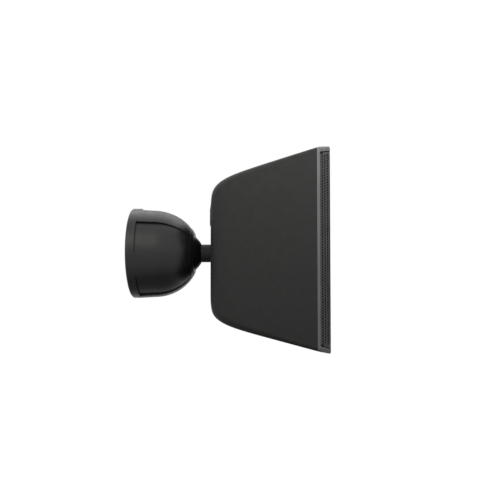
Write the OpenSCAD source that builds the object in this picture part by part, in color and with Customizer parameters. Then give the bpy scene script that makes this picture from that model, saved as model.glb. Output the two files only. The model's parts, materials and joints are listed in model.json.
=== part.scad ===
// Installation speaker: a tapered wall cabinet on a domed bracket with a ball joint.
// Millimetres. The origin is the centre of the wall plate's back face, +X runs out of the wall
// to the grille and +Z is up.

/* [Cabinet] */
// distance from the wall to the front of the grille
front_x = 229; // [226:0.1:234]
// distance from the wall to the back of the cabinet
back_x = 94.5; // [93:0.1:96]
// cabinet width where the trim frame meets it
cab_w = 148; // [146:1:156]
// cabinet height where the trim frame meets it
cab_h = 222.8; // [218:0.2:230]
// how fast the top and bottom close toward the back, in mm per mm
taper_h = 0.247; // [0.2:0.001:0.26]
// how fast the sides close toward the back, in mm per mm
taper_w = 0.28; // [0.24:0.01:0.29]
// moulded wall thickness
wall = 3; // [2.5:0.1:3.5]

/* [Trim frame and grille] */
// depth of the trim frame's side strip
strip_d = 3.1; // [2.5:0.1:4]
// thickness of the frame's top and bottom bars
bar_t = 4.6; // [4:0.1:5]
// how far the grille's slanted sides come in over their depth
return_in = 10.3; // [8:0.1:11]
// outer radius of the grille's two folds
fold_r = 3; // [2:0.1:4]
// grille sheet thickness
sheet_t = 1; // [0.8:0.1:1.2]
// spacing of the grille's staggered holes
hole_pitch = 7; // [6.5:0.5:9]
// diameter of the grille's holes
hole_d = 4.6; // [3.5:0.1:5]

/* [Wall bracket] */
// radius of the base ring on the wall
base_r = 53.8; // [53:0.1:56]
// depth of the base ring
base_d = 10.2; // [8:0.1:12]
// radius of the rounded cage
dome_r = 52.8; // [52:0.05:53.2]
// distance from the wall to the cage's centre of curvature
dome_x = 26.75; // [26:0.05:27.5]
// angle that each recessed panel spans
panel_angle = 42; // [36:1:48]
// radius of the circle that the wall screws lie on
wall_screw_r = 37; // [34:1:40]

/* [Ball joint] */
// ball radius
ball_r = 25.3; // [24:0.1:26]
// distance from the wall to the ball's centre
ball_x = 58.75; // [58:0.05:59.5]
// neck diameter
neck_d = 21.5; // [18:0.1:22]
// cable bore through the neck
cable_d = 9; // [7:0.5:10]

/* [Drivers] */
// woofer flange radius
woofer_r = 58.5; // [55:0.5:59]
// woofer centre below the cabinet's centre line
woofer_z = -38; // [-40:1:-36]
// tweeter plate radius
tweeter_r = 30; // [27:0.5:31]
// tweeter centre above the cabinet's centre line
tweeter_z = 66; // [64:1:68]

/* [Hidden] */

frame_x = front_x - 15.7;
strip_x = frame_x + strip_d;
half_w = cab_w / 2;
half_h = cab_h / 2;
plate_d = 6;
ring_in = base_r - 2.2;
ring_top = base_d - 0.5;
shell_r = dome_r - 2.35;
shell_x = dome_x + 2.2;
rim_x = ball_x + 14.9;
rim_r = 20.9;
seat_r = ball_r + 0.25;
sleeve_r = ball_r + 2;
cup_x = ball_x - 0.7;
clamp_r = 31.8;
front_corner_r = 4.5;
baffle_x = frame_x - 1;
baffle_t = 8;
baffle_hw = 67;
baffle_hh = 103;
pillar_y = 59;
pillar_z = 96;
recess_z = 44.5;
recess_hy = 19;
recess_hz = 11.5;
board_z = -44;
transformer_z = 66;
black = [0.11, 0.11, 0.12];
charcoal = [0.22, 0.22, 0.23];
grey = [0.5, 0.5, 0.52];
steel = [0.66, 0.67, 0.69];
ferrite = [0.2, 0.2, 0.21];
copper = [0.78, 0.47, 0.26];
paper = [0.25, 0.24, 0.22];
green = [0.16, 0.36, 0.22];
brass = [0.76, 0.64, 0.36];

// A solid of revolution about the X axis: the child's x is the radius, its y the distance from the wall.
module about_x(fn = 96, angle = 360) {
    rotate([0, 90, 0])
        rotate_extrude(angle = angle, $fn = fn)
            children();
}

// A round bar along X from x0 to x1.
module bar_x(x0, x1, r, fn = 48) {
    translate([x0, 0, 0])
        rotate([0, 90, 0])
            cylinder(h = x1 - x0, r = r, $fn = fn);
}

module tube_x(x0, x1, r_out, r_in) {
    difference() {
        bar_x(x0, x1, r_out);
        bar_x(x0 - 1, x1 + 1, r_in);
    }
}

// A Y-Z outline pushed along X from x0 to x1: the child's x is Y and its y is Z.
module slab_x(x0, x1) {
    translate([x0, 0, 0])
        rotate([90, 0, 90])
            linear_extrude(x1 - x0)
                children();
}

module rounded(w, h, r) {
    square([w - 2 * r, h], center = true);
    square([w, h - 2 * r], center = true);
    for (y = [-1, 1], z = [-1, 1])
        translate([y * (w / 2 - r), z * (h / 2 - r)])
            circle(r = r, $fn = 32);
}

// Screw along +X with its head at x0: a pan head with a cross slot.
module pan_screw(x0, head_r, head_h, r, length) {
    difference() {
        bar_x(x0, x0 + head_h, head_r, 32);
        translate([x0 + 0.5, 0, 0])
            cube([1.4, head_r * 1.1, 0.6], center = true);
        translate([x0 + 0.5, 0, 0])
            cube([1.4, 0.6, head_r * 1.1], center = true);
    }
    bar_x(x0 + head_h, x0 + head_h + length, r, 32);
}

// Places children on the four wall screw or clamp screw positions.
module four_round(r, start = 45) {
    for (k = [0:3])
        rotate([start + 90 * k, 0, 0])
            translate([0, 0, r])
                children();
}

// Wall bracket

module wall_plate() {
    color(steel)
        difference() {
            about_x()
                polygon([[13, 0], [ring_in - 0.8, 0], [ring_in - 0.2, 0.6], [ring_in - 0.2, plate_d], [13, plate_d]]);
            four_round(wall_screw_r)
                bar_x(-1, plate_d + 1, 2.75);
            four_round(wall_screw_r, 0)
                bar_x(2, plate_d + 1, 9);
            translate([plate_d / 2, 0, -ring_in + 5])
                rotate([180, 0, 0])
                    cylinder(h = 8, r = 1.65, $fn = 32);
        }
}

module cable_grommet() {
    color(black)
        about_x()
            polygon([[cable_d / 2, 0.2], [12.8, 0.2], [12.8, plate_d], [15, plate_d],
                     [15, plate_d + 1.5], [8, plate_d + 3.5], [cable_d / 2, plate_d + 3.5]]);
}

// Half section of the cage's outer face: ring, slight taper, then the round of the dome.
module cage_profile() {
    polygon([[0, 0], [base_r - 1.2, 0], [base_r, 1.2], [base_r, ring_top], [dome_r, dome_x], [0, dome_x]]);
    intersection() {
        translate([0, dome_x])
            circle(r = dome_r, $fn = 128);
        translate([0, dome_x])
            square([dome_r, 70 - dome_x]);
    }
}

// Half section of the space that the inner dome fills, with an offset all round it.
module dome_profile(gap = 0) {
    polygon([[0, 0], [ring_in - 0.2 + gap, 0], [ring_in - 0.2 + gap, ring_top], [shell_r + gap, shell_x],
             [0, shell_x]]);
    intersection() {
        translate([0, shell_x])
            circle(r = shell_r + gap, $fn = 128);
        translate([0, shell_x])
            square([shell_r + gap, 80]);
    }
}

module bracket_cage() {
    color(black)
        difference() {
            rotate([36, 0, 0])
                about_x(128)
                    difference() {
                        cage_profile();
                        dome_profile(0.2);
                    }
            for (k = [0:4])
                rotate([36 + 72 * k - panel_angle / 2, 0, 0])
                    about_x(128, panel_angle)
                        translate([20, base_d])
                            square([40, 70]);
            translate([plate_d / 2, 0, -base_r - 1])
                cylinder(h = 6, r = 2.1, $fn = 32);
        }
}

module bracket_dome() {
    color(black)
        difference() {
            about_x(128)
                difference() {
                    union() {
                        intersection() {
                            dome_profile();
                            square([60, 70]);
                        }
                        intersection() {
                            translate([0, dome_x])
                                circle(r = dome_r, $fn = 128);
                            translate([0, 70])
                                square([40, rim_x - 70]);
                        }
                    }
                    translate([-1, -1])
                        square([62, plate_d + 1]);
                    intersection() {
                        translate([0, shell_x])
                            circle(r = shell_r - 2.6, $fn = 128);
                        translate([0, plate_d + 3])
                            square([60, cup_x - plate_d - 3]);
                    }
                    translate([0, plate_d - 1])
                        square([ring_in - 8, shell_x - plate_d]);
                    intersection() {
                        translate([0, ball_x])
                            circle(r = sleeve_r + 0.2, $fn = 128);
                        translate([0, cup_x - 1])
                            square([40, 68 - cup_x + 1]);
                    }
                    intersection() {
                        translate([0, ball_x])
                            circle(r = seat_r, $fn = 128);
                        translate([0, 60])
                            square([40, 20]);
                    }
                }
            four_round(clamp_r)
                bar_x(cup_x - 1, cup_x + 4.6, 1.2);
        }
}

module clamp_cup() {
    color(charcoal)
        difference() {
            about_x(96)
                difference() {
                    union() {
                        translate([0, cup_x - 4])
                            square([35.6, 4]);
                        translate([0, ball_x - 24.2])
                            square([29.6, 22]);
                    }
                    translate([0, ball_x])
                        circle(r = sleeve_r + 0.2, $fn = 128);
                    translate([-1, 20])
                        square([16, 30]);
                }
            four_round(clamp_r)
                bar_x(cup_x - 5, cup_x + 1, 1.7);
        }
}

module clamp_screws() {
    color(steel)
        four_round(clamp_r)
            pan_screw(cup_x - 6, 2, 2, 1.2, 8);
}

module base_set_screw() {
    color(steel)
        difference() {
            translate([plate_d / 2, 0, -base_r + 0.3])
                cylinder(h = 6.2, r = 1.65, $fn = 32);
            translate([plate_d / 2, 0, -base_r])
                cylinder(h = 2.3, r = 0.95, $fn = 6);
        }
}

// Ball joint

module ball_sleeve() {
    color(grey)
        about_x(96)
            intersection() {
                difference() {
                    translate([0, ball_x])
                        circle(r = sleeve_r, $fn = 128);
                    translate([0, ball_x])
                        circle(r = ball_r + 0.1, $fn = 128);
                }
                translate([0, ball_x - 15])
                    square([40, 14]);
            }
}

module ball() {
    neck_face = ball_x + sqrt(ball_r * ball_r - neck_d * neck_d / 4);
    color(black)
        about_x(96)
            difference() {
                intersection() {
                    translate([0, ball_x])
                        circle(r = ball_r, $fn = 128);
                    translate([0, ball_x - 22.5])
                        square([ball_r, neck_face - ball_x + 22.5]);
                }
                translate([-1, ball_x - 30])
                    square([9.05, 60]);
                translate([-1, ball_x - 30])
                    square([13, 13.5]);
            }
}

module stem() {
    neck_face = ball_x + sqrt(ball_r * ball_r - neck_d * neck_d / 4) + 0.1;
    color(charcoal)
        difference() {
            union() {
                bar_x(ball_x - 20, neck_face + 1, 8);
                bar_x(neck_face, back_x + 0.6, neck_d / 2);
                bar_x(back_x, back_x + 20, 8);
            }
            bar_x(ball_x - 21, back_x + 21, cable_d / 2);
            tube_x(ball_x - 19, ball_x - 17.4, 9, 7.2);
        }
}

module stem_ring() {
    color(steel)
        difference() {
            tube_x(ball_x - 18.9, ball_x - 17.5, 10.6, 7.2);
            translate([ball_x - 20, -1.5, 5])
                cube([4, 3, 8]);
        }
}

module stem_washer() {
    color(steel)
        difference() {
            slab_x(back_x + wall + 0.1, back_x + wall + 3.1)
                rounded(44, 44, 5);
            bar_x(back_x, back_x + 10, 8.2);
        }
}

module stem_nut() {
    color(steel)
        difference() {
            translate([back_x + wall + 3.1, 0, 0])
                rotate([0, 90, 0])
                    cylinder(h = 8, r = 14, $fn = 6);
            bar_x(back_x, back_x + 20, 8);
        }
}

// Cabinet shell

run_h = 80.4;
drop_h = 33;
run_w = 32;
drop_w = 13;
back_corner_r = 11.8;

// Distance that a wall has drawn in at depth t behind its flat run: a quarter of a superellipse,
// drop deep and run long. A higher power turns the corner tighter.
function corner_drop(t, run, drop, power) = t >= run ? 0 : drop * (1 - pow(1 - pow(1 - t / run, power), 1 / power));

function shell_hh(x, skin) = half_h - taper_h * (frame_x - x) - skin
    - corner_drop(x - back_x - skin, run_h - skin, drop_h - skin, 4.9);

function shell_hw(x, skin) = half_w - taper_w * (frame_x - x) - skin
    - corner_drop(x - back_x - skin, run_w - skin, drop_w - skin, 2.7);

function corner_r(x, skin) = front_corner_r - skin * 0.7
    + (back_corner_r - front_corner_r) * pow((frame_x - x) / (frame_x - back_x), 1.5);

arc_steps = 6;
ring_n = 4 * (arc_steps + 1);

// One rounded rectangle of the shell, as points in the plane X = x.
function ring(x, w, h, r) = [
    for (q = [0:3], i = [0:arc_steps])
        let (a = 90 * q + 90 * i / arc_steps, sy = (q == 0 || q == 3) ? 1 : -1, sz = q < 2 ? 1 : -1)
            [x, sy * (w - r) + r * cos(a), sz * (h - r) + r * sin(a)]
];

function shell_ring(x, skin) = ring(x, shell_hw(x, skin), shell_hh(x, skin), corner_r(x, skin));

// Stations from the front to the back, closer together where the back corner turns.
function stations(skin) = [
    for (k = [0:3]) frame_x - k * (frame_x - back_x - run_h) / 3,
    for (k = [1:16]) back_x + skin + (run_h - skin) * pow(1 - k / 16, 2.6)
];

// The back closes in three rings with a slight crown, ending at one point.
function back_rings(skin, s) = [
    for (f = [0.8, 0.45])
        ring(back_x + skin - 1 + f * f, s * shell_hw(back_x + skin, skin) * f, s * shell_hh(back_x + skin, skin) * f,
             corner_r(back_x, skin) * f)
];

module shell_skin() {
    outer = stations(0);
    inner = stations(wall);
    n = len(outer);
    rings = concat(
        [for (f = [1, 0]) back_rings(wall, 1)[f]],
        [for (k = [n - 1:-1:0]) shell_ring(inner[k], wall)],
        [for (k = [0:n - 1]) shell_ring(outer[k], 0)],
        back_rings(0, 1)
    );
    m = len(rings);
    first = m * ring_n;
    points = concat([for (r = rings, p = r) p], [[back_x + wall - 1, 0, 0], [back_x - 1, 0, 0]]);
    sides = [
        for (j = [0:m - 2], i = [0:ring_n - 1], half = [0, 1])
            let (a = j * ring_n + i, b = j * ring_n + (i + 1) % ring_n)
                half == 0 ? [a, b, a + ring_n] : [b, b + ring_n, a + ring_n]
    ];
    caps = concat(
        [for (i = [0:ring_n - 1]) [first, (i + 1) % ring_n, i]],
        [for (i = [0:ring_n - 1]) [(m - 1) * ring_n + i, (m - 1) * ring_n + (i + 1) % ring_n, first + 1]]
    );
    polyhedron(points, concat(sides, caps), convexity = 6);
}

module pillars() {
    for (y = [-1, 1], z = [-1, 0, 1])
        translate([0, y * pillar_y, z * pillar_z])
            difference() {
                bar_x(baffle_x - baffle_t - 28, baffle_x - baffle_t, 4.4, 32);
                bar_x(baffle_x - baffle_t - 14, baffle_x, 1.5, 24);
            }
}

// Posts on the inside of the back that carry the circuit board and the transformer.
module inner_posts() {
    for (y = [-1, 1]) {
        for (z = [-1, 1])
            translate([0, y * 18.5, board_z + z * 16.5])
                bar_x(back_x + 2, back_x + 12, 3, 24);
        translate([0, y * 17.5, transformer_z])
            bar_x(back_x + 2.6, back_x + 28, 3, 24);
    }
}

module inner_post_holes() {
    for (y = [-1, 1]) {
        for (z = [-1, 1])
            translate([0, y * 18.5, board_z + z * 16.5])
                bar_x(back_x + 4, back_x + 13, 1.2, 24);
        translate([0, y * 17.5, transformer_z])
            bar_x(back_x + 14, back_x + 29, 1.2, 24);
    }
}

module cabinet_shell() {
    color(charcoal)
        difference() {
            union() {
                shell_skin();
                pillars();
                inner_posts();
            }
            inner_post_holes();
            bar_x(back_x - 4, back_x + 20, 8.15);
            bar_x(back_x - 4, back_x + 0.6, neck_d / 2 + 0.1);
            slab_x(back_x - 4, back_x + 10)
                translate([0, recess_z])
                    rounded(2 * recess_hy, 2 * recess_hz, 2);
            slab_x(back_x - 4, back_x + 0.9)
                translate([0, recess_z])
                    rounded(2 * recess_hy + 12, 2 * recess_hz + 4, 3);
            for (y = [-1, 1])
                translate([0, y * (recess_hy + 3), recess_z])
                    bar_x(back_x - 4, back_x + 10, 1.1, 24);
        }
}

// Terminal recess in the back, above the neck

module terminal_cover() {
    color(charcoal)
        difference() {
            slab_x(back_x - 1.3, back_x + 0.9)
                translate([0, recess_z])
                    rounded(2 * recess_hy + 11.6, 2 * recess_hz + 3.6, 2.8);
            for (y = [-1, 1])
                translate([0, y * (recess_hy + 3), recess_z]) {
                    bar_x(back_x - 3, back_x + 3, 1.4, 24);
                    bar_x(back_x - 3, back_x - 0.3, 2.5, 24);
                }
        }
}

module cover_screws() {
    color(steel)
        for (y = [-1, 1])
            translate([0, y * (recess_hy + 3), recess_z])
                pan_screw(back_x - 1.2, 2.2, 0.9, 1.1, 6);
}

module terminal_cup() {
    color(black)
        difference() {
            union() {
                slab_x(back_x + wall + 1, back_x + 22)
                    translate([0, recess_z])
                        rounded(2 * recess_hy + 3, 2 * recess_hz + 3, 3);
                slab_x(back_x + 1.2, back_x + wall + 1)
                    translate([0, recess_z])
                        rounded(2 * recess_hy - 0.4, 2 * recess_hz - 0.4, 1.8);
            }
            slab_x(back_x, back_x + 20.5)
                translate([0, recess_z])
                    rounded(2 * recess_hy - 3, 2 * recess_hz - 3, 1.2);
            translate([0, -12, recess_z])
                bar_x(back_x + 19, back_x + 24, 2.2);
        }
}

module terminal_block() {
    color(green)
        difference() {
            slab_x(back_x + 10, back_x + 20.5)
                translate([7, recess_z])
                    square([20, 12], center = true);
            for (k = [0:3])
                translate([0, -0.5 + 5 * k, recess_z - 3]) {
                    bar_x(back_x + 8, back_x + 17, 1.5, 24);
                    translate([0, 0, 6])
                        bar_x(back_x + 8, back_x + 14, 1.6, 24);
                }
        }
}

module terminal_screws() {
    color(brass)
        for (k = [0:3])
            translate([0, -0.5 + 5 * k, recess_z + 3])
                difference() {
                    bar_x(back_x + 11.5, back_x + 14, 1.6, 24);
                    translate([back_x + 11.5, 0, 0])
                        cube([1.2, 4, 0.5], center = true);
                }
}

module tap_knob() {
    color(grey)
        translate([0, -12, recess_z])
            difference() {
                union() {
                    bar_x(back_x + 12, back_x + 20.2, 5);
                    bar_x(back_x + 20.2, back_x + 26, 2.15);
                }
                translate([back_x + 11, -0.6, -1])
                    cube([2.4, 1.2, 7]);
            }
}

// Electrical parts

module transformer_core() {
    color(ferrite)
        translate([back_x + 36, 0, transformer_z])
            difference() {
                cube([16, 42, 36], center = true);
                for (y = [-1, 1]) {
                    translate([0, y * 10.5, 0])
                        cube([20, 7, 24], center = true);
                    translate([0, y * 17.5, 0])
                        bar_x(-10, 10, 1.4, 24);
                }
            }
}

module transformer_coil() {
    color(copper)
        translate([back_x + 36, 0, transformer_z])
            difference() {
                cube([27, 27.6, 23.4], center = true);
                cube([16.4, 14.4, 26], center = true);
            }
}

module crossover_board() {
    color(green)
        difference() {
            slab_x(back_x + 12, back_x + 13.6)
                translate([0, board_z])
                    rounded(44, 40, 2);
            for (y = [-1, 1], z = [-1, 1])
                translate([0, y * 18.5, board_z + z * 16.5])
                    bar_x(back_x + 10, back_x + 16, 1.4, 24);
        }
}

module crossover_coils() {
    color(copper)
        for (z = [board_z - 10, board_z + 10])
            translate([0, -8, z])
                tube_x(back_x + 13.6, back_x + 23, 8, 4);
}

module crossover_capacitors() {
    color(black)
        for (z = [board_z - 12, board_z, board_z + 12])
            translate([back_x + 18.8, 1, z])
                rotate([-90, 0, 0])
                    cylinder(h = 14, r = 5.2, $fn = 32);
}

module inner_screws() {
    color(steel)
        for (y = [-1, 1]) {
            for (z = [-1, 1])
                translate([back_x + 13.6, y * 18.5, board_z + z * 16.5])
                    rotate([0, 180, 0])
                        pan_screw(-1.6, 2.4, 1.6, 1.2, 8);
            translate([back_x + 44, y * 17.5, transformer_z])
                rotate([0, 180, 0])
                    pan_screw(-1.8, 2.6, 1.8, 1.2, 28);
        }
}

// Felt pad lying on the cabinet's floor, which rises toward the back.
module damping_pad() {
    color(grey)
        translate([back_x + 75, 0, -half_h + taper_h * (frame_x - back_x - 75) + wall + 0.2])
            rotate([0, atan(taper_h), 0])
                translate([-22, -30, 0])
                    cube([44, 60, 8]);
}

// Baffle, frame and grille

module baffle() {
    color(black)
        difference() {
            slab_x(baffle_x - baffle_t, baffle_x)
                difference() {
                    rounded(2 * baffle_hw, 2 * baffle_hh, 4);
                    translate([0, woofer_z])
                        circle(r = 50.5, $fn = 96);
                    translate([0, tweeter_z])
                        circle(r = 22, $fn = 64);
                    translate([42, 30])
                        circle(r = 14.1, $fn = 48);
                }
            for (y = [-1, 1], z = [-1, 0, 1])
                translate([0, y * pillar_y, z * pillar_z]) {
                    bar_x(baffle_x - 20, baffle_x + 1, 2, 24);
                    bar_x(baffle_x - 2.6, baffle_x + 1, 3.8, 24);
                }
            at_woofer()
                four_round(54.5)
                    bar_x(baffle_x - 20, baffle_x + 1, 1.65, 24);
            at_tweeter()
                four_round(26.2)
                    bar_x(baffle_x - 20, baffle_x + 1, 1.35, 24);
        }
}

module baffle_gasket() {
    color(black)
        slab_x(baffle_x, frame_x)
            difference() {
                rounded(2 * baffle_hw, 2 * baffle_hh, 4);
                rounded(2 * baffle_hw - 6, 2 * baffle_hh - 3, 3);
            }
}

module baffle_screws() {
    color(steel)
        for (y = [-1, 1], z = [-1, 0, 1])
            translate([baffle_x, y * pillar_y, z * pillar_z])
                rotate([0, 180, 0])
                    pan_screw(0.2, 3.4, 2.2, 1.5, 16);
}

lean = atan(return_in / (front_x - strip_x));
fold_y = half_w - return_in - fold_r * tan((90 - lean) / 2);

// Half height of the frame's outside, which carries the cabinet's taper on.
function frame_hh(x) = half_h + taper_h * (x - frame_x);

module frame_section(x, hw, hh) {
    slab_x(x, x + 0.01)
        rounded(2 * hw, 2 * hh, front_corner_r);
}

// Side outline of the space between the two bars, with its rear corners rounded.
module frame_mouth() {
    r = 2.2;
    z0 = frame_hh(strip_x) - bar_t;
    z1 = frame_hh(front_x + 1) - bar_t;
    polygon([[strip_x, r - z0], [strip_x + r, -z0], [front_x + 1, -z1],
             [front_x + 1, z1], [strip_x + r, z0], [strip_x, z0 - r]]);
    for (z = [-1, 1])
        translate([strip_x + r, z * (z0 - r)])
            circle(r = r, $fn = 32);
}

module trim_frame() {
    color(grey)
        difference() {
            hull() {
                frame_section(frame_x, half_w, half_h);
                frame_section(strip_x, half_w + 0.2, frame_hh(strip_x));
                frame_section(front_x - 1.2, half_w - return_in + 0.8, frame_hh(front_x - 1.2));
                frame_section(front_x - 0.01, half_w - return_in - 0.8, frame_hh(front_x) - 0.4);
            }
            rotate([90, 0, 0])
                translate([0, 0, -half_w - 10])
                    linear_extrude(cab_w + 20)
                        frame_mouth();
            slab_x(frame_x - 1, front_x)
                rounded(2 * 64, 2 * 99.5, 5);
        }
}

grille_gap = 0.7;
grille_h0 = frame_hh(strip_x) - bar_t - grille_gap;
grille_h1 = frame_hh(front_x) - bar_t - grille_gap;

// Staggered columns of round holes over a height h.
module hole_field(h, cols) {
    dy = hole_pitch * sqrt(3) / 2;
    rows = floor(h / 2 / hole_pitch - 0.5);
    for (i = [0:cols - 1])
        for (j = [-rows:rows])
            translate([(i - (cols - 1) / 2) * dy, (j + (i % 2) / 2 - 0.25) * hole_pitch])
                circle(d = hole_d, $fn = 24);
}

// One half of the folded sheet's plan, from its back edge to the fold's front end, inset from its outer face.
function wrap_half(inset, back) = concat(
    [[back, half_w - (back - strip_x) * tan(lean) - inset / cos(lean)]],
    [for (k = [0:8]) let (a = (90 - lean) * (1 - k / 8))
        [front_x - fold_r + (fold_r - inset) * cos(a), fold_y + (fold_r - inset) * sin(a)]]
);

module wrap_plan(inset, back) {
    side = wrap_half(inset, back);
    polygon(concat(side, [for (k = [len(side) - 1:-1:0]) [side[k][0], -side[k][1]]]));
}

module grille() {
    run = (front_x - strip_x) / cos(lean) - fold_r * tan((90 - lean) / 2);
    color(charcoal)
        difference() {
            intersection() {
                translate([0, 0, -grille_h1 - 2])
                    linear_extrude(2 * grille_h1 + 4)
                        difference() {
                            wrap_plan(0, strip_x + 0.1);
                            wrap_plan(sheet_t, strip_x - 2);
                        }
                rotate([90, 0, 0])
                    translate([0, 0, -half_w - 2])
                        linear_extrude(cab_w + 4)
                            polygon([[strip_x, 1.8 - grille_h0], [strip_x + 1.8, -grille_h0], [front_x, -grille_h1],
                                     [front_x + 2, -grille_h1], [front_x + 2, grille_h1], [front_x, grille_h1],
                                     [strip_x + 1.8, grille_h0], [strip_x, grille_h0 - 1.8]]);
            }
            slab_x(front_x - 2, front_x + 2)
                hole_field(2 * grille_h1, 2 * floor((fold_y - 3) / (hole_pitch * sqrt(3) / 2)) + 1);
            for (side = [0, 1])
                mirror([0, side, 0])
                    translate([strip_x, half_w, 0])
                        rotate([0, 0, -lean])
                            rotate([90, 0, 0])
                                translate([run / 2 + 0.4, 0, -1])
                                    linear_extrude(3)
                                        hole_field(2 * grille_h0, 2);
        }
}

module grille_cloth() {
    color(black)
        translate([0, 0, 1 - grille_h0])
            linear_extrude(2 * grille_h0 - 2)
                difference() {
                    wrap_plan(sheet_t, strip_x + 0.3);
                    wrap_plan(sheet_t + 0.6, strip_x - 2);
                }
}

module port_tube() {
    color(black)
        translate([0, 42, 30])
            about_x(64)
                polygon([[12, baffle_x - 42], [14, baffle_x - 42], [14, baffle_x], [16.5, baffle_x], [16.5, baffle_x + 1.5],
                         [15.5, baffle_x + 2], [13.6, baffle_x + 1.2], [12.4, baffle_x - 1], [12, baffle_x - 4]]);
}

// Woofer

module at_woofer() {
    translate([0, 0, woofer_z])
        children();
}

module woofer_basket() {
    color(black)
        at_woofer()
            difference() {
                about_x(96)
                    polygon([[50, baffle_x], [woofer_r, baffle_x], [woofer_r, baffle_x + 3], [51.2, baffle_x + 3],
                             [51.2, baffle_x + 0.4], [48.2, baffle_x + 0.4], [45.5, baffle_x - 4], [37.5, baffle_x - 22],
                             [36, baffle_x - 26.6], [31.2, baffle_x - 26.6], [31.2, baffle_x - 28], [34, baffle_x - 29],
                             [33.5, baffle_x - 36], [14.5, baffle_x - 36], [14.5, baffle_x - 38], [35.5, baffle_x - 38],
                             [36.6, baffle_x - 27], [39.5, baffle_x - 24], [47.6, baffle_x - 4], [50, baffle_x - 1.5]]);
                for (k = [0:5])
                    rotate([60 * k, 0, 0])
                        translate([baffle_x - 14, 0, 30])
                            cube([12, 26, 40], center = true);
                for (k = [0:3])
                    rotate([45 + 90 * k, 0, 0])
                        translate([0, 0, 54.5])
                            bar_x(baffle_x - 1, baffle_x + 5, 2, 24);
            }
}

module woofer_top_plate() {
    color(steel)
        at_woofer()
            tube_x(baffle_x - 43, baffle_x - 38, 33, 14.2);
}

module woofer_magnet() {
    color(ferrite)
        at_woofer()
            tube_x(baffle_x - 57, baffle_x - 43, 36, 18);
}

module woofer_yoke() {
    color(steel)
        at_woofer()
            about_x(64)
                polygon([[4, baffle_x - 62], [32, baffle_x - 62], [33, baffle_x - 61], [33, baffle_x - 57],
                         [11.8, baffle_x - 57], [11.8, baffle_x - 38], [4, baffle_x - 38]]);
}

// Corrugated ring of revolution: waves between r0 and r1 about the plane X = x.
module corrugated(x, r0, r1, waves, height, t) {
    steps = 4 * waves;
    top = [for (i = [0:steps]) [r0 + (r1 - r0) * i / steps, x + height * sin(90 * i)]];
    bottom = [for (i = [steps:-1:0]) [r0 + (r1 - r0) * i / steps, x - t + height * sin(90 * i)]];
    about_x(64) {
        polygon(concat(top, bottom));
        translate([r1 - 0.1, x - t])
            square([3, t]);
    }
}

module woofer_spider() {
    color(brass)
        at_woofer()
            corrugated(baffle_x - 26, 13.5, 31, 4, 0.9, 0.6);
}

module woofer_surround() {
    color(black)
        at_woofer()
            about_x(96)
                difference() {
                    union() {
                        translate([45.6, baffle_x + 0.4])
                            circle(r = 3.2, $fn = 48);
                        translate([48, baffle_x + 0.4])
                            square([3, 0.8]);
                    }
                    translate([45.6, baffle_x + 0.4])
                        circle(r = 2.5, $fn = 48);
                    translate([40, baffle_x - 9.6])
                        square([12, 10]);
                }
}

module woofer_cone() {
    color(paper)
        at_woofer()
            about_x(96)
                polygon([[13.1, baffle_x - 21], [24, baffle_x - 13.6], [34, baffle_x - 6], [42, baffle_x + 1.2],
                         [42, baffle_x + 2.2], [33.5, baffle_x - 5], [23.5, baffle_x - 12.6], [13.1, baffle_x - 19.8]]);
}

module woofer_dust_cap() {
    cap_r = 19;
    cap_x = baffle_x - 17.8 - sqrt(cap_r * cap_r - 16 * 16);
    color(black)
        at_woofer()
            about_x(64)
                intersection() {
                    difference() {
                        translate([0, cap_x])
                            circle(r = cap_r, $fn = 96);
                        translate([0, cap_x])
                            circle(r = cap_r - 0.8, $fn = 96);
                    }
                    translate([0, baffle_x - 17.8])
                        square([20, 20]);
                }
}

module voice_coil() {
    color(copper)
        at_woofer()
            about_x(64)
                polygon([[12.6, baffle_x - 47], [13.7, baffle_x - 47], [13.7, baffle_x - 35], [13.1, baffle_x - 35],
                         [13.1, baffle_x - 18.5], [12.6, baffle_x - 18.5]]);
}

module woofer_screws() {
    color(steel)
        at_woofer()
            for (k = [0:3])
                rotate([45 + 90 * k, 0, 0])
                    translate([baffle_x, 0, 54.5])
                        rotate([0, 180, 0])
                            pan_screw(-5, 3.2, 2, 1.6, 9);
}

// Tweeter

module at_tweeter() {
    translate([0, 0, tweeter_z])
        children();
}

module tweeter_plate() {
    color(black)
        at_tweeter()
            difference() {
                about_x(96)
                    polygon([[14.2, baffle_x], [tweeter_r, baffle_x], [tweeter_r, baffle_x + 2.4], [tweeter_r - 0.6, baffle_x + 3],
                             [23, baffle_x + 3], [18, baffle_x + 1.9], [14.2, baffle_x + 0.6]]);
                for (k = [0:3])
                    rotate([45 + 90 * k, 0, 0])
                        translate([0, 0, 26.2])
                            bar_x(baffle_x - 1, baffle_x + 5, 1.6, 24);
            }
}

module tweeter_dome() {
    dome_x0 = baffle_x + 5.6 - 16;
    color(grey)
        at_tweeter()
            about_x(64)
                intersection() {
                    difference() {
                        translate([0, dome_x0])
                            circle(r = 16, $fn = 96);
                        translate([0, dome_x0])
                            circle(r = 15.6, $fn = 96);
                    }
                    translate([0, baffle_x])
                        square([14, 20]);
                }
}

module tweeter_magnet() {
    color(ferrite)
        at_tweeter()
            about_x(64)
                polygon([[0, baffle_x - 18], [20, baffle_x - 18], [21, baffle_x - 17], [21, baffle_x], [0, baffle_x]]);
}

module tweeter_screws() {
    color(steel)
        at_tweeter()
            for (k = [0:3])
                rotate([45 + 90 * k, 0, 0])
                    translate([baffle_x, 0, 26.2])
                        rotate([0, 180, 0])
                            pan_screw(-4.6, 2.6, 1.6, 1.3, 8);
}

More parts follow.
